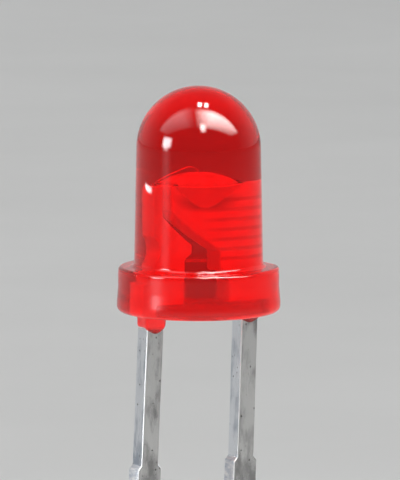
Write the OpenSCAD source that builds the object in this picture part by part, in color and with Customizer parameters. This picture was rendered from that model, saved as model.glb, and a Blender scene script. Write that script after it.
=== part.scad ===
// Round through-hole indicator lamp: a tinted cast lens, two stamped leads, and a chip in a coated cup.
// The origin is the middle of the flange's underside, which seats on the board. +Z runs up the lens.
// The leads lie in the XZ plane: the anode with its post at -X, the cathode with its cup at +X.

/* [Lens] */
// Height from the seat to the top of the dome
lens_h = 5.25; // [4.8:0.05:5.8]
// Diameter of the barrel where it meets the flange
barrel_d = 3.0; // [2.9:0.02:3.2]
// Mould draft of the barrel, degrees a side
barrel_draft = 1.1; // [0.5:0.1:2]
// Radius of the fillet between barrel and flange
root_fillet = 0.1; // [0.04:0.01:0.12]

/* [Flange] */
// Diameter of the flange at its lip
flange_d = 3.8; // [3.7:0.02:4]
// Thickness of the flange
flange_t = 1.05; // [0.95:0.05:1.2]
// How far the lip stands out beyond the upper flange
lip_w = 0.03; // [0.02:0.01:0.05]
// Height of the lip's upper end above the seat
lip_h = 0.58; // [0.5:0.02:0.7]
// Height of the slope that runs the lip into the upper flange
lip_slope = 0.36; // [0.2:0.02:0.4]
// Radius of the flange's upper edge
brow_r = 0.09; // [0.05:0.01:0.12]
// Radius of the flange's lower edge
foot_r = 0.14; // [0.08:0.01:0.18]
// Depth of the flat that marks the cathode side
flat_depth = 0.25; // [0.18:0.01:0.27]

/* [Resin on the leads] */
// How far the resin creeps down the anode lead
anode_creep = 0.45; // [0.2:0.05:0.6]
// How far the resin creeps down the cathode lead
cathode_creep = 0.28; // [0.2:0.02:0.6]
// Radius at the seat of the resin on the anode lead
anode_creep_r = 0.4; // [0.36:0.01:0.45]
// Radius at the seat of the resin on the cathode lead
cathode_creep_r = 0.36; // [0.34:0.01:0.37]

/* [Leads] */
// Spacing of the two leads
pitch = 2.54; // [2.5:0.01:2.56]
// Width of a lead
lead_w = 0.45; // [0.4:0.01:0.46]
// Thickness of the strip that the leads are stamped from
strip_t = 0.45; // [0.4:0.01:0.5]
// Length of the cathode lead below the seat
cathode_l = 25.4; // [15:0.1:30]
// How much longer the anode lead is
anode_extra = 1.6; // [1:0.1:3]
// Depth of the tie-bar stubs below the seat
stub_depth = 3.5; // [2.5:0.1:5]
// Height of a tie-bar stub
stub_h = 0.9; // [0.6:0.05:1.2]
// How far a stub stands out of the lead
stub_w = 0.09; // [0.05:0.01:0.15]
// Length of the chamfer at the tip of a lead
tip_chamfer = 0.12; // [0.05:0.01:0.18]
// Lean of the anode lead from the seat to its stubs, degrees towards -X
anode_lean = 2.7; // [0:0.1:4]
// Lean of the cathode lead from the seat to its stubs, degrees towards -X
cathode_lean = 2.0; // [0:0.1:4]

/* [Frame in the lens] */
// Height of the cup's rim and the post's top above the seat
rim_z = 3.0; // [2.8:0.05:3.2]
// Width of the stamped frame across cup plate and post
frame_w = 2.5; // [2.4:0.02:2.6]
// Width of the post's arm
arm_w = 0.3; // [0.25:0.01:0.36]
// Gap that the stamping leaves between cup plate and post
split_gap = 0.24; // [0.18:0.01:0.28]
// Clear width between the two legs
leg_gap = 0.8; // [0.7:0.02:0.9]
// Clear width of the slot between cup plate and post, above the legs
slot_gap = 0.5; // [0.42:0.02:0.56]
// Height where the cathode's leg reaches its full width
cathode_neck_z = 1.0; // [0.9:0.02:1.1]
// Height where the anode's leg reaches its full width
anode_neck_z = 1.42; // [1.36:0.02:1.46]
// Height where the legs widen above the seat
leg_z = 0.22; // [0.15:0.01:0.3]
// Resin that covers the lead's shoulder inside the flange
shoulder_cover = 0.3; // [0.2:0.01:0.4]
// Height where the sloping split meets the slot, on the cathode
split_low = 1.46; // [1.42:0.02:1.5]
// Height where the sloping split reaches the cup plate's edge
split_high = 2.42; // [2.34:0.02:2.46]
// Radius of the anchor notch in each outer edge
notch_r = 0.35; // [0.3:0.01:0.42]
// Depth of the anchor notch
notch_depth = 0.22; // [0.15:0.01:0.26]
// Height of the anchor notch above the seat
notch_z = 1.5; // [1.45:0.01:1.55]
// Radius of the frame's upper outer corners
corner_r = 0.12; // [0.06:0.01:0.14]

/* [Cup] */
// Diameter of the cup's rim
rim_d = 1.34; // [1.26:0.02:1.4]
// Wall of the cup
cup_wall = 0.09; // [0.07:0.01:0.11]
// Depth of the cup
cup_depth = 0.32; // [0.31:0.01:0.36]
// Clear ring between die cement and cup wall
floor_ring = 0.04; // [0.02:0.005:0.06]
// Height of the cloudy resin drop above the cup's rim
coat_rise = 0.3; // [0.26:0.02:0.36]

/* [Chip and wire] */
// Side of the square chip
die_w = 0.3; // [0.26:0.01:0.33]
// Height of the chip
die_h = 0.24; // [0.18:0.01:0.28]
// Thickness of the cement under the chip
cement_t = 0.02; // [0.015:0.005:0.03]
// Height that the cement climbs up the chip's sides
cement_climb = 0.05; // [0.03:0.005:0.08]
// Width of the cement's skirt beyond the chip's corners
cement_skirt = 0.05; // [0.03:0.005:0.06]
// Diameter of the bond wire
wire_d = 0.03; // [0.025:0.0025:0.04]
// Radius of the wire's bend above the chip
wire_bend = 0.16; // [0.12:0.01:0.2]
// Slope of the wire down to the post, degrees
wire_slope = 24; // [18:1:30]
// Diameter of the ball that bonds the wire to the chip
ball_d = 0.1; // [0.08:0.005:0.12]
// Height of the ball after bonding
ball_h = 0.035; // [0.03:0.005:0.045]
// Diameter of the stitch that bonds the wire to the post
stitch_d = 0.14; // [0.1:0.01:0.18]
// Height of the stitch
stitch_h = 0.025; // [0.02:0.005:0.03]

/* [Hidden] */
$fn = 96;

// Lens: the barrel's drafted wall is tangent to the dome.
barrel_r = barrel_d / 2;
flange_r = flange_d / 2;
brow_wall_r = flange_r - lip_w;
flat_x = flange_r - flat_depth;
dome_r = (barrel_r - (lens_h - flange_t) * tan(barrel_draft)) * cos(barrel_draft) / (1 - sin(barrel_draft));
dome_z = lens_h - dome_r;
tangent_r = dome_r * cos(barrel_draft);
tangent_z = dome_z + dome_r * sin(barrel_draft);
// The crept resin runs out a little inside the lead's faces, and the cup's foot inside the strip's.
creep_tip_r = 0.85 * min(lead_w, strip_t) / 2;
cup_foot_r = 0.9 * strip_t / 2;

// Leads and frame, measured from the lens axis.
lead_x = pitch / 2;
lead_in = lead_x - lead_w / 2;
shoulder_z = flange_t - shoulder_cover;
anode_l = cathode_l + anode_extra;
frame_edge = frame_w / 2;
post_in = frame_edge - arm_w;
plate_edge = post_in - split_gap;
leg_in = leg_gap / 2;
slot_in = slot_gap / 2;
neck_rise = leg_in - slot_in;
split_run = slot_in + plate_edge;
split_rise = split_high - split_low;
split_len = norm([split_run, split_rise]);

// Cup, with walls of even thickness.
rim_r = rim_d / 2;
cup_mouth_r = rim_r - cup_wall;
cement_r = die_w / sqrt(2) + cement_skirt;
cup_floor_r = cement_r + floor_ring;
cup_slope = (cup_mouth_r - cup_floor_r) / cup_depth;
cup_floor_z = rim_z - cup_depth;
cup_h = (rim_r - cup_foot_r) / cup_slope;
// The drop fills the cup, and its round top starts on the middle of the rim.
coat_edge_r = rim_r - cup_wall / 2;
coat_r = (coat_edge_r * coat_edge_r + coat_rise * coat_rise) / (2 * coat_rise);

// Chip and wire.
die_z = cup_floor_z + cement_t;
die_top = die_z + die_h;
wire_r = wire_d / 2;
post_x = -(frame_edge + post_in) / 2;
bend_end_x = -wire_bend * (1 + sin(wire_slope));
bend_end_z = rim_z + wire_r + (bend_end_x - post_x) * tan(wire_slope);
bend_z = bend_end_z - wire_bend * cos(wire_slope);
wire_foot_z = die_top + ball_h / 2;
// The bend is a hair thicker than the straight runs, which end a short lap inside it.
bend_r = 1.04 * wire_r;
bend_lap = 0.4 * wire_r;

// Radius of the barrel's wall at height z.
function barrel_wall(z) = dome_r / cos(barrel_draft) + (dome_z - z) * tan(barrel_draft);

// Height of the post's sloping edge at x, a split gap below the cup plate's slope.
function post_slope(x) =
    split_low - split_gap * split_len / split_run + (slot_in - x) * split_rise / split_run;

// A round corner of radius r that fills the corner of a section at [x, z], inwards along sx and sz.
module corner(x, z, r, sx, sz) {
    translate([x + sx * r, z + sz * r]) circle(r = r);
}

// Half section of the flange with its lip and rounded edges.
module flange_section() {
    polygon([
        [0, 0],
        [flange_r - foot_r, 0],
        [flange_r, foot_r],
        [flange_r, lip_h - lip_slope],
        [brow_wall_r, lip_h],
        [brow_wall_r, flange_t - brow_r],
        [brow_wall_r - brow_r, flange_t],
        [0, flange_t]
    ]);
    intersection() {
        corner(flange_r, 0, foot_r, -1, 1);
        translate([flange_r - foot_r, 0]) square(foot_r);
    }
    intersection() {
        corner(brow_wall_r, flange_t, brow_r, -1, -1);
        translate([brow_wall_r - brow_r, flange_t - brow_r]) square(brow_r);
    }
}

// Half section of the drafted barrel and the dome.
module barrel_section() {
    base_z = flange_t / 2;
    polygon([
        [0, base_z],
        [barrel_wall(base_z), base_z],
        [tangent_r, tangent_z],
        [0, tangent_z]
    ]);
    intersection() {
        translate([0, dome_z]) circle(r = dome_r);
        translate([0, tangent_z]) square(dome_r);
    }
}

// Half section of the fillet where the barrel leaves the flange.
module root_section() {
    centre_z = flange_t + root_fillet;
    centre_x = barrel_wall(centre_z) + root_fillet / cos(barrel_draft);
    inner_x = barrel_wall(centre_z) - root_fillet;
    base_z = flange_t - root_fillet;
    difference() {
        translate([inner_x, base_z]) square([centre_x - inner_x, centre_z - base_z]);
        translate([centre_x, centre_z]) circle(r = root_fillet);
    }
}

// Resin that crept down a lead at x while the lens set.
module creep(x, h, r) {
    translate([x, 0, -h]) cylinder(h = h, r1 = creep_tip_r, r2 = r);
}

// Everything cast into the lens. The drop fills the cup, so chip and cement lie out of the lens's reach.
module inserts() {
    cathode_blank();
    anode_shape();
    coat_shape();
    wire_shape();
}

module lens() {
    color([0.86, 0.05, 0.06, 0.6])
    difference() {
        union() {
            difference() {
                rotate_extrude() {
                    flange_section();
                    barrel_section();
                    root_section();
                }
                translate([flat_x, -flange_r, -flange_t])
                    cube([flange_d, flange_d, 3 * flange_t]);
            }
            creep(-lead_x, anode_creep, anode_creep_r);
            creep(lead_x, cathode_creep, cathode_creep_r);
        }
        inserts();
    }
}

// Outline of a lead of length l at +X: bar, chamfered tip and the sheared stubs of the tie bar.
// From the seat to the stubs' lower end the bar drifts sideways by drift for each unit of depth.
module lead_outline(l, drift) {
    knee = stub_depth + stub_h;
    shift = drift * knee;
    stub_top = drift * stub_depth;
    translate([lead_in, 0]) {
        polygon([
            [0, shoulder_z],
            [0, 0],
            [shift, -knee],
            [shift, tip_chamfer - l],
            [shift + tip_chamfer, -l],
            [shift + lead_w - tip_chamfer, -l],
            [shift + lead_w, tip_chamfer - l],
            [shift + lead_w, -knee],
            [lead_w, 0],
            [lead_w, shoulder_z]
        ]);
        polygon([
            [stub_top, -stub_depth],
            [stub_top - stub_w, -stub_depth - stub_w],
            [shift - stub_w, stub_w - knee],
            [shift, -knee],
            [shift + lead_w, -knee],
            [shift + lead_w + stub_w, stub_w - knee],
            [stub_top + lead_w + stub_w, -stub_depth - stub_w],
            [stub_top + lead_w, -stub_depth]
        ]);
    }
}

// The rounded bite in the outer edge that anchors a frame in the resin.
module anchor_notch() {
    translate([frame_edge - notch_depth + notch_r, notch_z]) circle(r = notch_r);
}

// Outline of the cathode: leg, cup plate with its sloping edge, and lead.
module cathode_outline() {
    difference() {
        union() {
            polygon([
                [leg_in, leg_z],
                [frame_edge, leg_z],
                [frame_edge, rim_z - corner_r],
                [frame_edge - corner_r, rim_z],
                [-plate_edge, rim_z],
                [-plate_edge, split_high],
                [slot_in, split_low],
                [slot_in, cathode_neck_z],
                [leg_in, cathode_neck_z - neck_rise]
            ]);
            intersection() {
                corner(frame_edge, rim_z, corner_r, -1, -1);
                translate([frame_edge - corner_r, rim_z - corner_r]) square(corner_r);
            }
        }
        anchor_notch();
    }
    lead_outline(cathode_l, -tan(cathode_lean));
}

// Outline of the anode, mirrored to +X: leg, post with its arm, and lead.
module anode_outline() {
    difference() {
        union() {
            polygon([
                [leg_in, leg_z],
                [frame_edge, leg_z],
                [frame_edge, rim_z - corner_r],
                [frame_edge - corner_r, rim_z],
                [post_in, rim_z],
                [post_in, post_slope(-post_in)],
                [slot_in, post_slope(-slot_in)],
                [slot_in, anode_neck_z],
                [leg_in, anode_neck_z - neck_rise]
            ]);
            intersection() {
                corner(frame_edge, rim_z, corner_r, -1, -1);
                translate([frame_edge - corner_r, rim_z - corner_r]) square(corner_r);
            }
        }
        anchor_notch();
    }
    lead_outline(anode_l, tan(anode_lean));
}

// Stamps an outline drawn in X and Z out of the strip.
module stamped() {
    translate([0, strip_t / 2, 0]) rotate([90, 0, 0]) linear_extrude(height = strip_t) children();
}

// The cathode with its cup still filled.
module cathode_blank() {
    stamped() cathode_outline();
    translate([0, 0, rim_z - cup_h]) cylinder(h = cup_h, r1 = cup_foot_r, r2 = rim_r);
}

module cathode_shape() {
    difference() {
        cathode_blank();
        translate([0, 0, cup_floor_z])
            cylinder(h = 2 * cup_depth, r1 = cup_floor_r, r2 = cup_floor_r + 2 * cup_depth * cup_slope);
    }
}

module cathode_lead() {
    color("silver") cathode_shape();
}

module anode_shape() {
    mirror([1, 0, 0]) stamped() anode_outline();
}

module anode_lead() {
    color("silver") anode_shape();
}

module die_shape() {
    translate([-die_w / 2, -die_w / 2, die_z]) cube([die_w, die_w, die_h]);
}

module die() {
    color([0.35, 0.18, 0.16]) die_shape();
}

// Silver-filled cement: a low skirt that holds the chip's underside and lower edges.
module cement_shape() {
    translate([0, 0, cup_floor_z])
        cylinder(h = cement_t + cement_climb, r1 = cement_r, r2 = cement_r - cement_skirt / 2);
}

module die_cement() {
    color([0.7, 0.7, 0.68])
    difference() {
        cement_shape();
        die_shape();
    }
}

// Bond wire: ball on the chip, rise, bend, straight fall and stitch on the post.
module wire_shape() {
    translate([0, 0, die_top]) cylinder(h = ball_h, d = ball_d);
    translate([0, 0, wire_foot_z]) cylinder(h = bend_z + bend_lap - wire_foot_z, r = wire_r);
    translate([-wire_bend, 0, bend_z])
        rotate([90, 0, 0])
        rotate_extrude(angle = 90 + wire_slope)
        translate([wire_bend, 0])
        circle(r = bend_r);
    translate([bend_end_x, 0, bend_end_z])
        rotate([0, -90 - wire_slope, 0])
        translate([0, 0, -bend_lap])
        cylinder(h = bend_lap + (bend_end_x - post_x) / cos(wire_slope), r = wire_r);
    translate([post_x, 0, rim_z]) cylinder(h = stitch_h, d = stitch_d);
}

module bond_wire() {
    color("gold") wire_shape();
}

// Half section of the drop: the cup's hollow and the round top above its rim.
module coat_section() {
    polygon([
        [0, cup_floor_z],
        [cup_floor_r, cup_floor_z],
        [cup_mouth_r, rim_z],
        [0, rim_z]
    ]);
    intersection() {
        translate([0, rim_z + coat_rise - coat_r]) circle(r = coat_r);
        translate([0, rim_z]) square(coat_r);
    }
}

module coat_shape() {
    rotate_extrude() coat_section();
}

// Cloudy resin over the chip, which spreads its light.
module die_coat() {
    color([0.95, 0.45, 0.38, 0.8])
    difference() {
        coat_shape();
        cement_shape();
        die_shape();
        wire_shape();
    }
}

lens();
cathode_lead();
anode_lead();
die_cement();
die();
bond_wire();
die_coat();
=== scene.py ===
"""Dresses a round through-hole indicator lamp: red resin lens, plated leads, chip, cement, bond wire and drop."""

import logging
import math
from dataclasses import dataclass, field
from enum import Enum
from typing import Callable

import bmesh
import bpy
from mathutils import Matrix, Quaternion, Vector


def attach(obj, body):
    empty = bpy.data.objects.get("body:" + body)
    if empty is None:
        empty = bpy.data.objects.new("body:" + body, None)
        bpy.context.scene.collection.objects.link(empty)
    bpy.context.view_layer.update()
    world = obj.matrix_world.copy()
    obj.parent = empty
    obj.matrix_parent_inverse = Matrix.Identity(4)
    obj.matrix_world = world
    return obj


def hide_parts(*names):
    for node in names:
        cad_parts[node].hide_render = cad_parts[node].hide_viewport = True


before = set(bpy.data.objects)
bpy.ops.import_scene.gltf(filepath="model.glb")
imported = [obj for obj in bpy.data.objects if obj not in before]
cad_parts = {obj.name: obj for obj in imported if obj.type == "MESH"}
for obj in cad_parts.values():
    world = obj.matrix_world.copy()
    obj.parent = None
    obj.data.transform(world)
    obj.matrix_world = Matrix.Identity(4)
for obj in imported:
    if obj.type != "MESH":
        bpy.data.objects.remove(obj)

log = logging.getLogger("indicator")

Colour = tuple[float, float, float]
Stretch = tuple[float, float, float]
Point = tuple[float, float]
Socket = bpy.types.NodeSocket

MM = 0.001
BODY = "root"
WHITE: Colour = (1.0, 1.0, 1.0)
WARM: Colour = (1.0, 0.97, 0.93)
COOL: Colour = (0.93, 0.96, 1.0)


class Node(Enum):
    """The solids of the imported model."""

    LENS = "lens"
    CATHODE = "cathode_lead"
    ANODE = "anode_lead"
    CEMENT = "die_cement"
    DIE = "die"
    WIRE = "bond_wire"
    COAT = "die_coat"


class Slot(Enum):
    """The record's material slots."""

    EPOXY = "red_epoxy"
    PLATING = "plated_lead"
    CEMENT = "silver_cement"
    CHIP = "chip"
    GOLD = "gold_wire"
    COAT = "cloudy_resin"


class Role(Enum):
    """What a lamp does."""

    LIGHT = "lights everything and shows in no reflection"
    INSIDE = "lights what is in the lens and shows nowhere else"
    GLARE = "shows in reflections only"


class Hang(Enum):
    """How a lamp hangs."""

    AIMED = "turned to the lens"
    LEVEL = "level, facing straight down"


class Effect(Enum):
    """Surface effects that the finishes share, by the name of their node group."""

    SMUDGES = "smudges"
    SCRATCHES = "fine_scratches"
    SPECKS = "specks"


def metres(band: Point) -> Point:
    """Turns a pair of lengths in mm into metres."""
    return band[0] * MM, band[1] * MM


class Graph:
    """A node tree with short calls to add and join nodes.

    A Mix node holds its sockets for values, vectors and colours one behind the other, so they go by number.
    """

    MIX_VALUES = (2, 3)
    MIX_COLOURS = (6, 7)
    MIXED_COLOUR = 2

    def __init__(self, tree: bpy.types.NodeTree) -> None:
        """Wraps a node tree."""
        self.tree = tree

    def add(self, kind: str, **values: object) -> bpy.types.Node:
        """Adds a node and sets its attributes, or its inputs where the name starts with in_.

        Args:
            kind: The node's Blender type, without the ShaderNode prefix.
            **values: Attributes by name, and inputs as in_Name_of_socket.

        Returns:
            The new node.
        """
        node = self.tree.nodes.new(kind if kind.startswith("Node") else "ShaderNode" + kind)
        for name, value in values.items():
            if name.startswith("in_"):
                self.feed(node.inputs[name.removeprefix("in_").replace("_", " ")], value)
            else:
                setattr(node, name, value)
        return node

    def feed(self, socket: Socket, value: object) -> None:
        """Links a socket to another, or sets its own value.

        Args:
            socket: The input to fill.
            value: An output socket to link, or a plain value.
        """
        if isinstance(value, Socket):
            self.tree.links.new(value, socket)
        else:
            socket.default_value = value

    def math(self, operation: str, *operands: object) -> Socket:
        """Adds a Math node.

        Args:
            operation: The Math node's operation.
            *operands: One or two sockets or numbers.

        Returns:
            The node's output.
        """
        node = self.add("Math", operation=operation)
        for socket, operand in zip(node.inputs, operands):
            self.feed(socket, operand)
        return node.outputs[0]

    def times(self, first: Socket, *others: object) -> Socket:
        """Multiplies values.

        Args:
            first: The first value.
            *others: Sockets or numbers to multiply it by.

        Returns:
            The product.
        """
        for other in others:
            first = self.math("MULTIPLY", first, other)
        return first

    def vector(self, operation: str, *operands: object) -> bpy.types.Node:
        """Adds a Vector Math node.

        Args:
            operation: The node's operation.
            *operands: One or two sockets or vectors.

        Returns:
            The node.
        """
        node = self.add("VectorMath", operation=operation)
        for socket, operand in zip(node.inputs, operands):
            self.feed(socket, operand)
        return node

    def axes(self, vector: Socket) -> dict[str, Socket]:
        """Splits a vector into X, Y and Z."""
        node = self.add("SeparateXYZ", in_Vector=vector)
        return {axis: node.outputs[axis] for axis in "XYZ"}

    def off_axis(self, point: Socket) -> Socket:
        """The distance of a point from the upright axis."""
        level = self.vector("MULTIPLY", point, (1.0, 1.0, 0.0)).outputs[0]
        return self.vector("LENGTH", level).outputs["Value"]

    def blend(self, factor: object, a: object, b: object) -> Socket:
        """Mixes two colours.

        Args:
            factor: Share of the second colour.
            a: First colour, a socket or RGB.
            b: Second colour, a socket or RGB.

        Returns:
            The mixed colour.
        """
        node = self.add("Mix", data_type="RGBA")
        self.feed(node.inputs[0], factor)
        for index, value in zip(self.MIX_COLOURS, (a, b)):
            self.feed(node.inputs[index], value if isinstance(value, Socket) else (*value, 1.0))
        return node.outputs[self.MIXED_COLOUR]

    def lerp(self, factor: object, a: object, b: object) -> Socket:
        """Mixes two plain values.

        Args:
            factor: Share of the second value.
            a: First value, a socket or a number.
            b: Second value, a socket or a number.

        Returns:
            The mixed value.
        """
        node = self.add("Mix", data_type="FLOAT")
        for index, value in zip((0, *self.MIX_VALUES), (factor, a, b)):
            self.feed(node.inputs[index], value)
        return node.outputs[0]

    def spread(self, value: Socket, band: Point, ends: Point) -> Socket:
        """Maps a value that runs through a band to one that runs between two ends, and holds the ends outside it.

        Args:
            value: The value to map.
            band: Lower and upper edge of the band.
            ends: Results at the two edges.

        Returns:
            The mapped value.
        """
        node = self.add("MapRange")
        for socket, item in zip(node.inputs, (value, *band, *ends)):
            self.feed(socket, item)
        return node.outputs[0]

    def rise(self, value: Socket, band: Point) -> Socket:
        """A mask that is 0 below a band and 1 above it."""
        return self.spread(value, band, (0.0, 1.0))

    def fall(self, value: Socket, band: Point) -> Socket:
        """A mask that is 1 below a band and 0 above it."""
        return self.spread(value, band, (1.0, 0.0))

    def fit(self, mask: Socket, ends: Point) -> Socket:
        """A value that runs from one end to the other with a mask."""
        return self.spread(mask, (0.0, 1.0), ends)


class MaterialGraph(Graph):
    """A material's node tree, with its shader and its output."""

    def __init__(self, tree: bpy.types.NodeTree) -> None:
        """Starts the tree afresh with a shader that feeds the output.

        Args:
            tree: The material's node tree.
        """
        super().__init__(tree)
        tree.nodes.clear()
        self.shader = self.add("BsdfPrincipled")
        self.output = self.add("OutputMaterial", in_Surface=self.shader.outputs[0])

    def give(self, **inputs: object) -> None:
        """Fills inputs of the shader, with _ for each blank in their names."""
        for name, value in inputs.items():
            self.feed(self.shader.inputs[name.replace("_", " ")], value)

    def emboss(self, height: Socket, relief: Point) -> None:
        """Raises the surface by a height map; relief is the strength and the depth in mm."""
        bump = self.add("Bump", in_Strength=relief[0], in_Distance=relief[1] * MM, in_Height=height)
        self.give(Normal=bump.outputs[0])


@dataclass(frozen=True)
class Wear:
    """One use of an effect: features per metre, strength of the mask and scale along each axis."""

    effect: Effect
    scale: float
    amount: float = 1.0
    stretch: Stretch = (1.0, 1.0, 1.0)


@dataclass
class EffectGroups:
    """Builds each surface effect once, as a shader node group. The bands are shares of the textures' range."""

    patch: Point = (0.35, 0.75)
    hair: Point = (0.56, 0.68)
    strewn: Point = (0.4, 0.6)
    thinnest: float = 0.2
    dot: Point = (0.08, 0.2)
    rare: Point = (0.5, 0.6)
    groups: dict[Effect, bpy.types.NodeTree] = field(init=False)

    def __post_init__(self) -> None:
        """Builds every effect."""
        makers: dict[Effect, Callable[[Graph, Socket], Socket]] = {
            Effect.SMUDGES: self._smudges,
            Effect.SCRATCHES: self._scratches,
            Effect.SPECKS: self._specks,
        }
        self.groups = {effect: self._group(effect, maker) for effect, maker in makers.items()}

    @staticmethod
    def _group(effect: Effect, maker: Callable[[Graph, Socket], Socket]) -> bpy.types.NodeTree:
        """Makes one group with its sockets.

        Args:
            effect: Which effect it holds.
            maker: Draws the effect at a surface point and returns its mask.

        Returns:
            The group's node tree.
        """
        tree = bpy.data.node_groups.new(effect.value, "ShaderNodeTree")
        for name, kind in (("Scale", "Float"), ("Amount", "Float"), ("Stretch", "Vector")):
            tree.interface.new_socket(name, in_out="INPUT", socket_type="NodeSocket" + kind)
        tree.interface.new_socket("Mask", in_out="OUTPUT", socket_type="NodeSocketFloat")
        graph = Graph(tree)
        entry = graph.add("NodeGroupInput").outputs
        stretched = graph.vector("MULTIPLY", graph.add("TexCoord").outputs["Object"], entry["Stretch"])
        scaled = graph.add("VectorMath", operation="SCALE", in_Vector=stretched.outputs[0], in_Scale=entry["Scale"])
        mask = graph.times(maker(graph, scaled.outputs[0]), entry["Amount"])
        graph.add("NodeGroupOutput", in_Mask=mask)
        return tree

    def _smudges(self, graph: Graph, point: Socket) -> Socket:
        """Soft patches, as handling leaves on a glossy face."""
        noise = graph.add("TexNoise", in_Vector=point, in_Scale=1.0, in_Detail=5.0, in_Roughness=0.6)
        return graph.rise(noise.outputs[0], self.patch)

    def _scratches(self, graph: Graph, point: Socket) -> Socket:
        """Fine hairline marks across the stretch, thinner in places.

        Args:
            graph: The group's graph.
            point: The surface point, stretched and scaled.

        Returns:
            The mask.
        """
        warp = graph.add("TexNoise", in_Vector=point, in_Scale=0.2, in_Detail=2.0)
        hair = graph.add("TexNoise", in_Vector=point, in_Scale=1.0, in_Detail=3.0, in_Roughness=0.7, in_Distortion=0.2)
        where = graph.spread(warp.outputs[0], self.strewn, (self.thinnest, 1.0))
        return graph.times(graph.rise(hair.outputs[0], self.hair), where)

    def _specks(self, graph: Graph, point: Socket) -> Socket:
        """Scattered pinpoint dirt and pits.

        Args:
            graph: The group's graph.
            point: The surface point, stretched and scaled.

        Returns:
            The mask.
        """
        cells = graph.add("TexVoronoi", in_Vector=point, in_Scale=1.0)
        rare = graph.add("TexNoise", in_Vector=point, in_Scale=0.6, in_Detail=1.0)
        return graph.times(graph.fall(cells.outputs["Distance"], self.dot), graph.rise(rare.outputs[0], self.rare))

    def place(self, graph: Graph, wear: Wear) -> Socket:
        """Puts an effect into a material.

        Args:
            graph: The material's graph.
            wear: Which effect, with its values.

        Returns:
            The effect's mask.
        """
        node = graph.add("Group", node_tree=self.groups[wear.effect])
        for name, value in (("Scale", wear.scale), ("Amount", wear.amount), ("Stretch", wear.stretch)):
            node.inputs[name].default_value = value
        return node.outputs["Mask"]


class Finish:
    """A surface finish that makes its material."""

    name: str = "finish"

    def material(self, effects: EffectGroups) -> bpy.types.Material:
        """Makes the finish's material.

        Args:
            effects: The shared surface effects.

        Returns:
            The material.
        """
        material = bpy.data.materials.new(self.name)
        material.use_nodes = True
        self.paint(MaterialGraph(material.node_tree), effects)
        return material

    def paint(self, graph: MaterialGraph, effects: EffectGroups) -> None:
        """Fills the shader's inputs; each finish has its own way."""
        raise NotImplementedError


@dataclass(frozen=True)
class RedEpoxy(Finish):
    """Clear red cast resin, glossy from the mould on dome and barrel and satin on the flange. Heights in mm."""

    name: str = Slot.EPOXY.value
    tint: Colour = (0.98, 0.02, 0.02)
    deep: Colour = (0.90, 0.01, 0.012)
    passed: Colour = (0.982, 0.385, 0.31)
    density: float = 5200.0
    clear: float = 0.95
    ior: float = 1.53
    gloss: Point = (0.008, 0.05)
    satin: Point = (0.18, 0.26)
    satin_top: Point = (0.88, 0.98)
    smudges: Wear = Wear(Effect.SMUDGES, 900.0)
    hairs: Wear = Wear(Effect.SCRATCHES, 2600.0, 0.6, (1.0, 1.0, 0.25))
    relief: Point = (0.05, 0.01)

    def paint(self, graph: MaterialGraph, effects: EffectGroups) -> None:
        """Tinted glass with faint smudges and hairlines, and dye through its depth.

        Args:
            graph: The material's graph.
            effects: The shared surface effects.
        """
        smudge = effects.place(graph, self.smudges)
        height = graph.axes(graph.add("TexCoord").outputs["Object"])["Z"]
        flange = graph.fall(height, metres(self.satin_top))
        graph.give(
            Base_Color=graph.blend(smudge, self.tint, self.deep),
            Roughness=graph.lerp(flange, graph.fit(smudge, self.gloss), graph.fit(smudge, self.satin)),
            IOR=self.ior,
            Transmission_Weight=self.clear,
        )
        graph.emboss(effects.place(graph, self.hairs), self.relief)
        dye = graph.add("VolumeAbsorption", in_Color=(*self.passed, 1.0), in_Density=self.density)
        graph.feed(graph.output.inputs["Volume"], dye.outputs[0])


@dataclass(frozen=True)
class LeadParts:
    """Masks of the parts of a lead's surface."""

    edgewise: Socket
    ridge: Socket
    outside: Socket
    sheared: Socket
    ribs: Socket
    cup_shadow: Socket


@dataclass(frozen=True)
class LeadMarks:
    """Masks of the marks on a lead."""

    smudge: Socket
    roll: Socket
    drag: Socket
    speck: Socket
    grit: Socket


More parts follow.
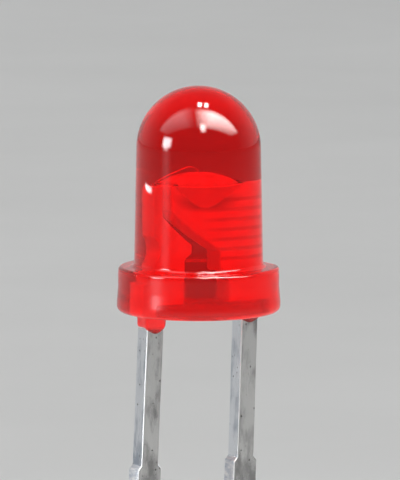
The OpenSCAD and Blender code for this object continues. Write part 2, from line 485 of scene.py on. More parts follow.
@dataclass(frozen=True)
class PlatedLead(Finish):
    """Stamped steel: satin silver inside the resin, brighter and marked where it was handled. Painted light and shade:
    a shadow under the cup, shade in the grooves, lighter bluish side faces and darker broad faces outside, and a
    highlight on the rounded edges. Sizes in mm.
    """

    name: str = Slot.PLATING.value
    silver: Colour = (0.95, 0.93, 0.90)
    # painted light and shade: side faces lighter and bluish as lit, broad faces darker as shaded, tones of one plating
    edge: tuple[Colour, Colour] = ((0.84, 0.86, 0.90), (0.42, 0.46, 0.53))
    broad_shaded: tuple[Colour, Colour] = ((0.56, 0.56, 0.56), (0.28, 0.28, 0.28))
    # rounded edges: rubbed, and painted near white as a highlight line along them
    rubbed_and_highlit: Colour = (0.95, 0.95, 0.95)
    soil: Colour = (0.10, 0.095, 0.09)
    torn: Colour = (0.82, 0.81, 0.80)
    # painted shade: the grooves are given a darker tone, as shade in them
    groove_shade: Colour = (0.70, 0.68, 0.66)
    # painted shadow under the cup: a darker tone of the plating
    cup_shadow: Colour = (0.50, 0.48, 0.47)
    edge_turn: Point = (0.6, 0.8)
    broad_turn: Point = (0.85, 0.95)
    ridge_turn: Point = (0.2, 0.45)
    patch: Point = (0.3, 0.7)
    rib_scale: float = 1370.0
    rib_wander: float = 0.6
    rib_waver: float = 0.4
    rib_band: Point = (0.45, 0.95)
    rib_edge: Point = (-0.1, 0.3)
    rib_rise: Point = (1.1, 2.8)
    rib_depth: float = 0.6
    cup_rim: Point = (0.67, 3.0)
    cup_slope: float = 0.87
    cup_shadow_w: Point = (0.04, 0.36)
    cup_shadow_foot: Point = (2.36, 2.48)
    cup_shadow_top: Point = (2.60, 2.82)
    satin: Point = (0.42, 0.6)
    frosted: float = 0.3
    polish: Point = (0.14, 0.36)
    rub: float = 0.42
    tear: float = 0.55
    tear_depth: float = 2.0
    stubs: Point = (-4.4, -3.5)
    frost_end: Point = (-0.14, -0.06)
    anode_frost: float = 0.2
    smudges: Wear = Wear(Effect.SMUDGES, 2200.0, stretch=(1.0, 1.0, 0.35))
    rolling: Wear = Wear(Effect.SCRATCHES, 5200.0, stretch=(0.12, 0.12, 1.0))
    drags: Wear = Wear(Effect.SCRATCHES, 6500.0, stretch=(1.0, 1.0, 0.08))
    specks: Wear = Wear(Effect.SPECKS, 7500.0)
    grits: Wear = Wear(Effect.SMUDGES, 14000.0, stretch=(1.0, 0.5, 1.0))
    relief: Point = (0.4, 0.01)

    def paint(self, graph: MaterialGraph, effects: EffectGroups) -> None:
        """Plating that differs above and below the seat, with rolling marks, scratches, specks and torn stubs.

        Args:
            graph: The material's graph.
            effects: The shared surface effects.
        """
        parts = self._parts(graph)
        wears = (self.smudges, self.rolling, self.drags, self.specks, self.grits)
        marks = LeadMarks(*(effects.place(graph, wear) for wear in wears))
        graph.give(
            Base_Color=self._colour(graph, parts, marks),
            Metallic=graph.lerp(parts.outside, self.frosted, 1.0),
            Roughness=self._roughness(graph, parts, marks),
        )
        graph.emboss(self._height(graph, parts, marks), self.relief)

    def _parts(self, graph: Graph) -> LeadParts:
        """Finds the parts by the way that each face looks and by its place.

        Args:
            graph: The material's graph.

        Returns:
            The masks of the parts.
        """
        coords = graph.add("TexCoord")
        place = graph.axes(coords.outputs["Object"])
        facing = graph.axes(coords.outputs["Normal"])
        along, across = (graph.math("ABSOLUTE", facing[axis]) for axis in "XY")
        edgewise = graph.rise(along, self.edge_turn)
        anode = graph.math("LESS_THAN", place["X"], 0.0)
        raised = graph.math("ADD", place["Z"], graph.times(anode, self.anode_frost * MM))
        return LeadParts(
            edgewise=edgewise,
            ridge=graph.rise(graph.math("MINIMUM", along, across), self.ridge_turn),
            outside=graph.fall(raised, metres(self.frost_end)),
            sheared=graph.times(self._between(graph, place["Z"], self.stubs), edgewise),
            ribs=graph.times(self._ribs(graph, coords.outputs["Object"]), graph.rise(across, self.broad_turn)),
            cup_shadow=self._cup_shadow(graph, coords.outputs["Object"]),
        )

    def _colour(self, graph: Graph, parts: LeadParts, marks: LeadMarks) -> Socket:
        """Colour of the plating.

        Args:
            graph: The material's graph.
            parts: Masks of the parts.
            marks: Masks of the marks.

        Returns:
            The colour.
        """
        # the grooves are painted darker, as shade in them
        plate = graph.blend(parts.ribs, self.silver, self.groove_shade)
        # paints the shadow under the cup as a darker plate
        plate = graph.blend(parts.cup_shadow, plate, self.cup_shadow)
        patch = graph.rise(marks.smudge, self.patch)
        # painted light and shade: side faces lighter and bluish, broad faces darker, with handling patches in each
        worn_and_lit = graph.blend(parts.edgewise, graph.blend(patch, *self.broad_shaded), graph.blend(patch, *self.edge))
        soiled = graph.blend(marks.speck, worn_and_lit, self.soil)
        torn = graph.blend(marks.grit, self.torn, self.edge[1])
        # rounded edges: rubbed, and painted near white as a highlight
        handled = graph.blend(parts.ridge, graph.blend(parts.sheared, soiled, torn), self.rubbed_and_highlit)
        return graph.blend(parts.outside, plate, handled)

    def _roughness(self, graph: Graph, parts: LeadParts, marks: LeadMarks) -> Socket:
        """Roughness of the plating.

        Args:
            graph: The material's graph.
            parts: Masks of the parts.
            marks: Masks of the marks.

        Returns:
            The roughness.
        """
        plate = graph.fit(marks.roll, self.satin)
        handled = graph.fit(graph.math("MAXIMUM", marks.smudge, marks.drag), self.polish)
        handled = graph.lerp(parts.ridge, graph.lerp(parts.sheared, handled, self.tear), self.rub)
        return graph.lerp(parts.outside, plate, handled)

    def _height(self, graph: Graph, parts: LeadParts, marks: LeadMarks) -> Socket:
        """Height map of the marks, with pits and grooves below zero.

        Args:
            graph: The material's graph.
            parts: Masks of the parts.
            marks: Masks of the marks.

        Returns:
            The height.
        """
        lines = graph.lerp(parts.outside, marks.roll, marks.drag)
        lines = graph.math("ADD", lines, graph.times(parts.sheared, self.tear_depth, marks.grit))
        pits = graph.math("MAXIMUM", marks.speck, graph.times(parts.ribs, self.rib_depth))
        return graph.math("SUBTRACT", lines, pits)

    def _ribs(self, graph: Graph, point: Socket) -> Socket:
        """Mask of the faint level grooves that rolling left across the cup plate, which are also painted darker as
        shade in them.

        Args:
            graph: The material's graph.
            point: The surface point.

        Returns:
            The mask.
        """
        wave = graph.add(
            "TexWave",
            bands_direction="Z",
            in_Vector=point,
            in_Scale=self.rib_scale,
            in_Distortion=self.rib_wander,
            in_Detail_Scale=self.rib_waver,
        )
        place = graph.axes(point)
        plate = graph.rise(place["X"], metres(self.rib_edge))
        plate = graph.times(plate, self._between(graph, place["Z"], self.rib_rise))
        return graph.times(graph.rise(wave.outputs["Fac"], self.rib_band), plate)

    def _cup_shadow(self, graph: Graph, point: Socket) -> Socket:
        """Mask of the painted shadow on the plate under the cup, a dark band round where the lower part of the cup
        comes out of it.

        Args:
            graph: The material's graph.
            point: The surface point.

        Returns:
            The mask.
        """
        height = graph.axes(point)["Z"]
        rim_r, rim_z = metres(self.cup_rim)
        narrowed = graph.times(graph.math("SUBTRACT", rim_z, height), self.cup_slope)
        off = graph.math("ADD", graph.math("SUBTRACT", graph.off_axis(point), rim_r), narrowed)
        inner, outer = metres(self.cup_shadow_w)
        return graph.times(
            graph.rise(off, (0.0, inner)),
            graph.fall(off, (inner, outer)),
            graph.rise(height, metres(self.cup_shadow_foot)),
            graph.fall(height, metres(self.cup_shadow_top)),
        )

    @staticmethod
    def _between(graph: Graph, height: Socket, stretch: Point) -> Socket:
        """Mask of a stretch of height, with its lower and upper end in mm."""
        low, high = metres(stretch)
        return graph.times(graph.math("GREATER_THAN", height, low), graph.math("LESS_THAN", height, high))


@dataclass(frozen=True)
class SilverCement(Finish):
    """Flake-filled die cement."""

    name: str = Slot.CEMENT.value
    flake: Colour = (0.72, 0.71, 0.69)
    binder: Colour = (0.4, 0.39, 0.37)
    matte: Point = (0.45, 0.7)
    metal: float = 0.7
    grains: Wear = Wear(Effect.SMUDGES, 30000.0)
    relief: Point = (0.5, 0.004)

    def paint(self, graph: MaterialGraph, effects: EffectGroups) -> None:
        """Matte metal flakes in a duller binder.

        Args:
            graph: The material's graph.
            effects: The shared surface effects.
        """
        grain = effects.place(graph, self.grains)
        graph.give(
            Base_Color=graph.blend(grain, self.flake, self.binder),
            Roughness=graph.fit(grain, self.matte),
            Metallic=self.metal,
        )
        graph.emboss(grain, self.relief)


@dataclass(frozen=True)
class ChipFace(Finish):
    """Cleaved semiconductor with a sawn skirt."""

    name: str = Slot.CHIP.value
    face: Colour = (0.16, 0.09, 0.085)
    saw: Colour = (0.27, 0.18, 0.16)
    gloss: Point = (0.2, 0.45)
    metal: float = 0.3
    saw_lines: Wear = Wear(Effect.SCRATCHES, 30000.0, stretch=(0.1, 0.1, 1.0))

    def paint(self, graph: MaterialGraph, effects: EffectGroups) -> None:
        """Dark gloss with saw lines.

        Args:
            graph: The material's graph.
            effects: The shared surface effects.
        """
        line = effects.place(graph, self.saw_lines)
        graph.give(
            Base_Color=graph.blend(line, self.face, self.saw),
            Roughness=graph.fit(line, self.gloss),
            Metallic=self.metal,
        )


@dataclass(frozen=True)
class GoldWire(Finish):
    """Drawn gold wire."""

    name: str = Slot.GOLD.value
    gold: Colour = (1.0, 0.74, 0.33)
    shade: Colour = (0.8, 0.54, 0.2)
    gloss: Point = (0.15, 0.3)
    draws: Wear = Wear(Effect.SMUDGES, 20000.0, stretch=(1.0, 1.0, 0.3))

    def paint(self, graph: MaterialGraph, effects: EffectGroups) -> None:
        """Bright gold with faint draw marks.

        Args:
            graph: The material's graph.
            effects: The shared surface effects.
        """
        draw = effects.place(graph, self.draws)
        graph.give(
            Base_Color=graph.blend(draw, self.gold, self.shade),
            Roughness=graph.fit(draw, self.gloss),
            Metallic=1.0,
        )


@dataclass(frozen=True)
class CloudyResin(Finish):
    """Milky drop over the chip."""

    name: str = Slot.COAT.value
    milk: Colour = (0.97, 0.72, 0.66)
    thin: Colour = (0.93, 0.55, 0.48)
    veil: Point = (0.72, 0.5)
    matte: Point = (0.5, 0.7)
    clouds: Wear = Wear(Effect.SMUDGES, 4000.0)

    def paint(self, graph: MaterialGraph, effects: EffectGroups) -> None:
        """Matte veil that is thinner in places.

        Args:
            graph: The material's graph.
            effects: The shared surface effects.
        """
        cloud = effects.place(graph, self.clouds)
        graph.give(
            Base_Color=graph.blend(cloud, self.milk, self.thin),
            Alpha=graph.fit(cloud, self.veil),
            Roughness=graph.fit(cloud, self.matte),
        )


@dataclass(frozen=True)
class PaleSheet(Finish):
    """Matte pale paper for the floor, with a painted pool of light round the object that glows only where it is seen
    through resin. Radii in mm.
    """

    name: str = "pale_sheet"
    paper: Colour = (0.82, 0.82, 0.81)
    shade: Colour = (0.78, 0.78, 0.77)
    matte: float = 0.9
    sheen: float = 0.1
    mottles: Wear = Wear(Effect.SMUDGES, 30.0)
    light_pool: Point = (32.0, 75.0)
    light_pool_lift: float = 0.45

    def paint(self, graph: MaterialGraph, effects: EffectGroups) -> None:
        """Nearly even matte paper, with a painted pool of light: an emission round the object that only rays through
        the resin see.

        Args:
            graph: The material's graph.
            effects: The shared surface effects.
        """
        mottle = effects.place(graph, self.mottles)
        reach = graph.off_axis(graph.add("TexCoord").outputs["Object"])
        # painted pool of light: glow round the object, seen only through the resin
        light_pool = graph.spread(reach, metres(self.light_pool), (self.light_pool_lift, 0.0))
        passed = graph.add("LightPath").outputs["Is Transmission Ray"]
        graph.give(
            Base_Color=graph.blend(mottle, self.paper, self.shade),
            Roughness=self.matte,
            Specular_IOR_Level=self.sheen,
            Emission_Color=(*self.paper, 1.0),
            Emission_Strength=graph.times(light_pool, passed),
        )


def arc(centre: Point, radius: float, start: float, stop: float, steps: int) -> list[Point]:
    """Points along an arc, both ends included, between two angles in degrees."""
    angles = [math.radians(start + (stop - start) * i / steps) for i in range(steps + 1)]
    return [(centre[0] + radius * math.cos(a), centre[1] + radius * math.sin(a)) for a in angles]


def revolve(profile: list[Point], turns: int) -> bmesh.types.BMesh:
    """Turns a profile that starts and ends on the axis into a closed body.

    Args:
        profile: Radius and height of each point in mm, from the lower to the upper pole.
        turns: How many stretches go round.

    Returns:
        The body's mesh.
    """
    mesh = bmesh.new()
    angles = [2 * math.pi * i / turns for i in range(turns)]
    rings = [[mesh.verts.new((r * math.cos(a), r * math.sin(a), z)) for a in angles] for r, z in profile[1:-1]]
    low, high = (mesh.verts.new((0.0, 0.0, end[1])) for end in (profile[0], profile[-1]))
    for i in range(turns):
        j = (i + 1) % turns
        mesh.faces.new((low, rings[0][j], rings[0][i]))
        for below, above in zip(rings, rings[1:]):
            mesh.faces.new((below[i], below[j], above[j], above[i]))
        mesh.faces.new((rings[-1][i], rings[-1][j], high))
    bmesh.ops.scale(mesh, vec=(MM, MM, MM), verts=mesh.verts)
    return mesh


def add_object(name: str, mesh: bmesh.types.BMesh) -> bpy.types.Object:
    """Puts a mesh into the scene as an object.

    Args:
        name: The object's name.
        mesh: Its mesh, which is freed.

    Returns:
        The object.
    """
    data = bpy.data.meshes.new(name)
    bmesh.ops.recalc_face_normals(mesh, faces=mesh.faces)
    mesh.to_mesh(data)
    mesh.free()
    piece = bpy.data.objects.new(name, data)
    bpy.context.scene.collection.objects.link(piece)
    return piece


def cover(piece: bpy.types.Object, material: bpy.types.Material) -> None:
    """Puts one material on all of a piece's slots."""
    for slot in piece.material_slots:
        slot.material = material


def weld(piece: bpy.types.Object, gap: float) -> None:
    """Joins the points of a piece that lie closer than a gap in mm."""
    modifier = piece.modifiers.new("weld", "WELD")
    modifier.merge_threshold = gap * MM


@dataclass(frozen=True)
class Creep:
    """Resin that crept down one lead: round at the seat, squarer where it hugs the lead. Sizes in mm.

    `side` is -1 or 1, `depth` the reach below the seat on the lead's front face, `root` the radius at the seat, and
    `lean` the lead's lean along X in degrees. `reach` is the share of the depth all round, and what the front adds.
    """

    side: float
    depth: float
    root: float
    lean: float
    pitch: float = 2.54
    lead_w: float = 0.45
    skin: float = 0.03
    thinning: float = 1.6
    thin_power: int = 8
    flare_power: int = 5
    bulge: float = 0.04
    bulge_power: int = 2
    sink: float = 0.06
    reach: Point = (0.68, 0.32)
    reach_power: int = 3
    corners: Point = (2.0, 12.0)
    turns: int = 72
    levels: int = 18

    def point(self, t: float, angle: float) -> tuple[float, float, float]:
        """A point of the resin's outside.

        Args:
            t: Share of the way down.
            angle: Way round the lead, in radians.

        Returns:
            The point in metres.
        """
        soft, square = self.corners
        power = soft + (square - soft) * t
        hug = self.lead_w / 2 + self.skin * (1.0 - self.thinning * t ** self.thin_power)
        half = hug + (self.root - hug) * (1.0 - t) ** self.flare_power
        front = max(0.0, -math.sin(angle))
        outline = (abs(math.cos(angle)) ** power + abs(math.sin(angle)) ** power) ** (-1 / power)
        radius = half * outline + self.bulge * front ** self.bulge_power * math.sin(math.pi * t)
        reach = self.depth * (self.reach[0] + self.reach[1] * front ** self.reach_power)
        z = self.sink * (1 - t) - reach * t
        x = self.side * self.pitch / 2 - z * math.tan(math.radians(self.lean)) + radius * math.cos(angle)
        return x * MM, radius * math.sin(angle) * MM, z * MM

    def build(self) -> bpy.types.Object:
        """Builds the resin as a closed body.

        Returns:
            The body, to be joined to the lens.
        """
        mesh = bmesh.new()
        steps = [level / self.levels for level in range(self.levels + 1)]
        angles = [2 * math.pi * i / self.turns for i in range(self.turns)]
        rings = [[mesh.verts.new(self.point(t, angle)) for angle in angles] for t in steps]
        for upper, lower in zip(rings, rings[1:]):
            for i in range(self.turns):
                j = (i + 1) % self.turns
                mesh.faces.new((upper[i], lower[i], lower[j], upper[j]))
        mesh.faces.new(rings[0])
        mesh.faces.new(rings[-1][::-1])
        return add_object("creep_tool", mesh)


@dataclass
class Lens:
    """Cast body: dome, drafted barrel, flange, cathode flat and resin on the leads. Sizes in mm, angles in degrees."""

    height: float = 5.25
    barrel_d: float = 3.0
    draft: float = 1.1
    barrel_z: tuple[float, ...] = (1.6, 2.2, 2.8, 3.4)
    root_fillet: float = 0.1
    flange_d: float = 3.8
    flange_t: float = 1.05
    lip_w: float = 0.03
    lip_h: float = 0.58
    lip_slope: float = 0.36
    brow_r: float = 0.09
    foot_r: float = 0.14
    flat_depth: float = 0.25
    creeps: tuple[Creep, ...] = (Creep(-1.0, 0.45, 0.40, -2.7), Creep(1.0, 0.36, 0.36, -2.0))
    turns: int = 192
    seat_steps: int = 12
    lip_steps: int = 8
    edge_steps: int = 10
    dome_steps: int = 48
    sharp: float = 40.0
    finish: RedEpoxy = field(default_factory=RedEpoxy)

    def profile(self) -> list[Point]:
        """Half section of the body.

        Returns:
            Radius and height of each point, from the underside's middle to the top of the dome.
        """
        slope = math.radians(self.draft)
        reach = self.barrel_d / 2 - (self.height - self.flange_t) * math.tan(slope)
        dome = reach * math.cos(slope) / (1 - math.sin(slope))
        dome_z = self.height - dome
        rim = self.flange_d / 2
        wall = rim - self.lip_w

        def barrel(z: float) -> float:
            """Radius of the barrel's wall at height z."""
            return dome / math.cos(slope) + (dome_z - z) * math.tan(slope)

        root_z = self.flange_t + self.root_fillet
        root_x = barrel(root_z) + self.root_fillet / math.cos(slope)
        seat = [((rim - self.foot_r) * i / self.seat_steps, 0.0) for i in range(self.seat_steps)]
        foot = arc((rim - self.foot_r, self.foot_r), self.foot_r, -90, 0, self.edge_steps)
        lip = [
            (rim - self.lip_w * i / self.lip_steps, self.lip_h + self.lip_slope * (i / self.lip_steps - 1))
            for i in range(self.lip_steps + 1)
        ]
        brow = arc((wall - self.brow_r, self.flange_t - self.brow_r), self.brow_r, 0, 90, self.edge_steps)
        root = arc((root_x, root_z), self.root_fillet, 270, 180 + self.draft, self.edge_steps)
        straight = [(barrel(z), z) for z in self.barrel_z]
        cap = arc((0.0, dome_z), dome, self.draft, 90, self.dome_steps)
        return seat + foot + lip + brow + root + straight + cap[:-1] + [(0.0, self.height)]

    def _flatten(self, mesh: bmesh.types.BMesh) -> None:
        """Cuts the flat that marks the cathode side.

        Args:
            mesh: The body's mesh.
        """
        flat = (self.flange_d / 2 - self.flat_depth) * MM
        geometry = mesh.verts[:] + mesh.edges[:] + mesh.faces[:]
        bmesh.ops.bisect_plane(mesh, geom=geometry, plane_co=(flat, 0, 0), plane_no=(1, 0, 0), clear_outer=True)
        rim = [edge for edge in mesh.edges if edge.is_boundary]
        bmesh.ops.holes_fill(mesh, edges=rim, sides=0)

    def _join_creeps(self, lens: bpy.types.Object) -> None:
        """Joins the resin on the leads to the body.

        Args:
            lens: The body, whose mesh is replaced.
        """
        tools = [creep.build() for creep in self.creeps]
        for tool in tools:
            join = lens.modifiers.new("join", "BOOLEAN")
            join.operation = "UNION"
            join.solver = "EXACT"
            join.object = tool
        bpy.context.view_layer.update()
        joined = bpy.data.meshes.new_from_object(lens.evaluated_get(bpy.context.evaluated_depsgraph_get()))
        lens.modifiers.clear()
        lens.data = joined
        for tool in tools:
            bpy.data.objects.remove(tool)

    def build(self, effects: EffectGroups) -> bpy.types.Object:
        """Builds and dresses the lens in place of the plain solid.

        Args:
            effects: The shared surface effects.

        Returns:
            The lens.
        """
        mesh = revolve(self.profile(), self.turns)
        self._flatten(mesh)
        lens = add_object("lens_body", mesh)
        self._join_creeps(lens)
        lens.data.shade_smooth()
        lens.data.set_sharp_from_angle(angle=math.radians(self.sharp))
        lens.data.materials.clear()
        lens.data.materials.append(self.finish.material(effects))
        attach(lens, BODY)
        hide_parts(Node.LENS.value)
        return lens


@dataclass
class LeadFrame:
    """The two stamped leads with cup and post. Sizes in mm, angles in degrees."""

    edge: float = 0.034
    edge_steps: int = 3
    weld_gap: float = 0.0005
    flatness: float = 1.0
    sharp: float = 30.0
    finish: PlatedLead = field(default_factory=PlatedLead)

    def dress(self, effects: EffectGroups) -> list[bpy.types.Object]:
        """Rounds the stamped edges and plates both leads.

        Args:
            effects: The shared surface effects.

        Returns:
            The leads.
        """
        material = self.finish.material(effects)
        leads = [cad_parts[node.value] for node in (Node.CATHODE, Node.ANODE)]
        for lead in leads:
            weld(lead, self.weld_gap)
            flat = lead.modifiers.new("whole_faces", "DECIMATE")
            flat.decimate_type = "DISSOLVE"
            flat.angle_limit = math.radians(self.flatness)
            bevel = lead.modifiers.new("rolled_edge", "BEVEL")
            bevel.width = self.edge * MM
            bevel.segments = self.edge_steps
            bevel.limit_method = "ANGLE"
            bevel.angle_limit = math.radians(self.sharp)
            lead.modifiers.new("even_shading", "WEIGHTED_NORMAL")
            cover(lead, material)
        return leads


@dataclass
class Chip:
    """The chip, its cement, its bond wire and the drop over it. Sizes in mm."""

    face: ChipFace = field(default_factory=ChipFace)
    cement: SilverCement = field(default_factory=SilverCement)
    wire: GoldWire = field(default_factory=GoldWire)
    coat: CloudyResin = field(default_factory=CloudyResin)
    weld_gap: float = 0.0005
    coat_clear: float = 0.003

    def dress(self, effects: EffectGroups) -> list[bpy.types.Object]:
        """Gives each small solid its finish.

        Args:
            effects: The shared surface effects.

        Returns:
            The pieces.
        """
        finishes = {Node.DIE: self.face, Node.CEMENT: self.cement, Node.WIRE: self.wire, Node.COAT: self.coat}
        pieces = []
        for node, finish in finishes.items():
            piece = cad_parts[node.value]
            cover(piece, finish.material(effects))
            pieces.append(piece)
        self._draw_in(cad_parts[Node.COAT.value])
        return pieces

    def _draw_in(self, drop: bpy.types.Object) -> None:
        """Draws the drop in by a hair, so that its faces don't lie in the cup's.

        Args:
            drop: The drop over the chip.
        """
        weld(drop, self.weld_gap)
        shrink = drop.modifiers.new("draw_in", "DISPLACE")
        shrink.mid_level = 0.0
        shrink.strength = -self.coat_clear * MM


@dataclass(frozen=True)
class Lamp:
    """A soft studio lamp, placed as seen from the camera. Sizes in mm, angles in degrees.

    A lamp for glare fades over the share `soft` of its half width. `lean` is how much dimmer one end is than the
    other, across the lamp and along it. Below zero, the other end is the dimmer one.
    """

    name: str
    azimuth: float
    elevation: float
    distance: float
    size: Point
    radiance: float
    colour: Colour = WHITE
    role: Role = Role.LIGHT
    hang: Hang = Hang.AIMED
    soft: float = 0.0
    lean: Point = (0.0, 0.0)


# Name, azimuth, elevation, distance, size and radiance, then the colour, role, hang, softness and lean of some.
LAMPS = (
    Lamp("key_softbox", 50.0, 50.0, 190.0, (210.0, 170.0), 1.6, WARM),
    Lamp("fill_softbox", -64.0, 50.0, 190.0, (150.0, 130.0), 1.3, COOL),
    Lamp("front_fill", 20.0, 25.0, 260.0, (240.0, 180.0), 1.3),
    Lamp("backdrop_lamp", -155.0, 45.0, 500.0, (520.0, 420.0), 1.2, hang=Hang.LEVEL),
    Lamp("frame_wash", 32.0, 0.0, 260.0, (260.0, 60.0), 8.0, WARM, Role.INSIDE),
    Lamp("cup_wash", 32.0, -60.0, 25.0, (30.0, 30.0), 1.8, WARM, Role.INSIDE),
    Lamp("post_wash", -118.0, 10.0, 200.0, (140.0, 90.0), 9.0, COOL, Role.INSIDE),
    Lamp("crown_wash", 40.0, 75.0, 190.0, (200.0, 200.0), 4.0, WHITE, Role.INSIDE),
    Lamp("back_wash", -149.0, 5.0, 260.0, (260.0, 80.0), 10.0, WHITE, Role.INSIDE),
    Lamp("key_glare", 64.5, 35.0, 191.9, (310.2, 117.7), 34.0, WARM, Role.GLARE, Hang.LEVEL, 0.35, (0.95, -0.95)),
    Lamp("key_bulb", 10.5, 44.0, 170.0, (40.0, 62.0), 24.0, WARM, Role.GLARE, soft=0.8),
    Lamp("fill_glare", -65.8, 37.2, 181.8, (242.0, 123.2), 4.2, COOL, Role.GLARE, Hang.LEVEL, 0.35, (-0.5, -0.9)),
    Lamp("top_glare_left", 157.0, 86.3, 169.1, (22.0, 44.0), 40.0, WHITE, Role.GLARE, Hang.LEVEL, 0.7),
    Lamp("top_glare_right", 108.2, 79.3, 171.8, (22.0, 44.0), 40.0, WHITE, Role.GLARE, Hang.LEVEL, 0.7),
    Lamp("window_glare", -62.0, 12.5, 170.0, (68.0, 60.0), 21.0, COOL, Role.GLARE, soft=0.6),
    Lamp("window_tail", -63.0, 3.5, 170.0, (44.0, 36.0), 9.0, COOL, Role.GLARE, soft=0.8),
    Lamp("window_streak", -62.0, -4.0, 170.0, (70.0, 50.0), 0.7, COOL, Role.GLARE, soft=0.9),
    Lamp("post_glint", -100.8, -0.6, 15.9, (6.6, 0.23), 17.0, WHITE, Role.GLARE, soft=0.7),
)


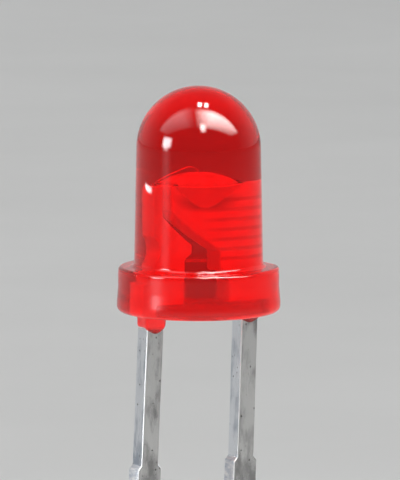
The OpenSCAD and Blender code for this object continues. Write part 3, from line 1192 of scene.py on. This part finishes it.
@dataclass
class Studio:
    """Floor, surround, soft lamps and the camera. Sizes in mm, angles in degrees, scale in pixels to the mm."""

    azimuth: float = -30.7
    elevation: float = 7.4
    distance: float = 150.0
    pixels: Point = (400.0, 480.0)
    scale: float = 43.1
    target_z: float = 1.652
    target_side: float = 0.0325
    clip: Point = (1.0, 100000.0)
    floor_z: float = -27.0
    floor_reach: float = 1500.0
    floor_cells: int = 8
    behind: Colour = (0.52, 0.525, 0.53)
    before: Colour = (0.17, 0.175, 0.18)
    overhead: Colour = (0.18, 0.185, 0.19)
    through: Colour = (0.92, 0.92, 0.92)
    sky_band: Point = (0.25, 0.8)
    side_band: Point = (-0.2, 0.5)
    paper: PaleSheet = field(default_factory=PaleSheet)
    lamps: tuple[Lamp, ...] = LAMPS

    def direction(self, azimuth: float, elevation: float) -> Vector:
        """Unit vector from the lens to a place, in degrees to the right of the camera and above the horizon."""
        a, e = math.radians(self.azimuth + azimuth), math.radians(elevation)
        return Vector((math.sin(a) * math.cos(e), -math.cos(a) * math.cos(e), math.sin(e)))

    def build(self, effects: EffectGroups) -> None:
        """Builds floor, light and camera.

        Args:
            effects: The shared surface effects.
        """
        self._floor(effects)
        self._world()
        for lamp in self.lamps:
            self._lamp(lamp)
        self._camera()
        bpy.context.scene.view_settings.view_transform = "Standard"

    def _floor(self, effects: EffectGroups) -> None:
        """The pale sheet that the leads stand on.

        Args:
            effects: The shared surface effects.
        """
        mesh = bmesh.new()
        cells = self.floor_cells
        bmesh.ops.create_grid(mesh, x_segments=cells, y_segments=cells, size=self.floor_reach * MM)
        bmesh.ops.translate(mesh, vec=(0, 0, self.floor_z * MM), verts=mesh.verts)
        floor = add_object("floor", mesh)
        floor.data.materials.append(self.paper.material(effects))

    def _world(self) -> None:
        """A surround that is darker before the object and overhead, and pale where it is seen through the resin."""
        world = bpy.data.worlds.new("surround")
        world.use_nodes = True
        graph = Graph(world.node_tree)
        way = graph.add("TexCoord").outputs["Generated"]
        rear = self.direction(180.0, 0.0)
        facing = graph.vector("DOT_PRODUCT", way, tuple(rear))
        side = graph.rise(facing.outputs["Value"], self.side_band)
        rise = graph.rise(graph.axes(way)["Z"], self.sky_band)
        room = graph.blend(rise, graph.blend(side, self.before, self.behind), self.overhead)
        passed = graph.add("LightPath").outputs["Is Transmission Ray"]
        sky = world.node_tree.nodes["Background"]
        graph.feed(sky.inputs["Color"], graph.blend(passed, room, self.through))
        bpy.context.scene.world = world

    def _lamp(self, lamp: Lamp) -> None:
        """One soft lamp.

        Args:
            lamp: Its place, size, strength and role.
        """
        light = bpy.data.lights.new(lamp.name, "AREA")
        light.shape = "RECTANGLE"
        light.size, light.size_y = metres(lamp.size)
        light.energy = lamp.radiance * math.pi * light.size * light.size_y
        light.color = lamp.colour
        if lamp.role is Role.GLARE:
            self._soften(light, lamp)
        elif lamp.role is Role.INSIDE:
            self._confine(light)
        body = bpy.data.objects.new(lamp.name, light)
        bpy.context.scene.collection.objects.link(body)
        away = self.direction(lamp.azimuth, lamp.elevation)
        body.location = Vector((0, 0, self.target_z * MM)) + away * lamp.distance * MM
        body.rotation_mode = "QUATERNION"
        if lamp.hang is Hang.LEVEL:
            body.rotation_quaternion = Quaternion((0, 0, 1), math.radians(self.azimuth))
        else:
            body.rotation_quaternion = away.to_track_quat("Z", "Y")
        body.visible_camera = False
        body.visible_diffuse = lamp.role is Role.LIGHT
        body.visible_glossy = lamp.role is Role.GLARE
        body.visible_transmission = lamp.role in (Role.LIGHT, Role.INSIDE)

    @staticmethod
    def _soften(light: bpy.types.AreaLight, lamp: Lamp) -> None:
        """Lets a lamp fade towards its edges and to one side.

        Args:
            light: The lamp's light.
            lamp: How soft it is, and how much it fades to one side.
        """
        light.use_nodes = True
        graph = Graph(light.node_tree)
        place = graph.axes(graph.add("NewGeometry").outputs["Parametric"])
        middle = 0.5
        fades = []
        for axis, lean in zip("XY", lamp.lean):
            off = graph.math("ABSOLUTE", graph.math("SUBTRACT", place[axis], middle))
            fades.append(graph.fall(off, (middle * (1.0 - lamp.soft), middle)))
            fades.append(graph.fit(place[axis], (1.0 + min(lean, 0.0), 1.0 - max(lean, 0.0))))
        graph.feed(light.node_tree.nodes["Emission"].inputs["Strength"], graph.times(*fades))

    @staticmethod
    def _confine(light: bpy.types.AreaLight) -> None:
        """Keeps a lamp from showing through the lens: only light that a surface has scattered meets it.

        Args:
            light: The lamp's light.
        """
        light.use_nodes = True
        graph = Graph(light.node_tree)
        bounces = graph.add("LightPath").outputs["Diffuse Depth"]
        scattered = graph.math("GREATER_THAN", bounces, 0.5)
        graph.feed(light.node_tree.nodes["Emission"].inputs["Strength"], scattered)

    def _camera(self) -> None:
        """A long lens at the photograph's angle and framing."""
        data = bpy.data.cameras.new("camera")
        camera = bpy.data.objects.new("camera", data)
        bpy.context.scene.collection.objects.link(camera)
        back = self.direction(0.0, self.elevation)
        turn = back.to_track_quat("Z", "Y")
        side = turn @ Vector((1, 0, 0))
        target = Vector((0, 0, self.target_z * MM)) + side * self.target_side * MM
        camera.location = target + back * self.distance * MM
        camera.rotation_mode = "QUATERNION"
        camera.rotation_quaternion = turn
        data.sensor_fit = "AUTO"
        data.lens = data.sensor_width * self.distance / (max(self.pixels) / self.scale)
        data.clip_start, data.clip_end = metres(self.clip)
        bpy.context.scene.camera = camera


def main() -> None:
    """Builds the indicator's pieces in order, then the studio."""
    logging.basicConfig(level=logging.INFO, format="%(name)s: %(message)s")
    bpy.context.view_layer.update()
    effects = EffectGroups()
    lens = Lens().build(effects)
    log.info("built %s with %d faces", lens.name, len(lens.data.polygons))
    for piece in LeadFrame().dress(effects) + Chip().dress(effects):
        log.info("dressed %s", piece.name)
    Studio().build(effects)
    log.info("set up the studio with %d lamps", len(LAMPS))


if __name__ == "__main__":
    main()
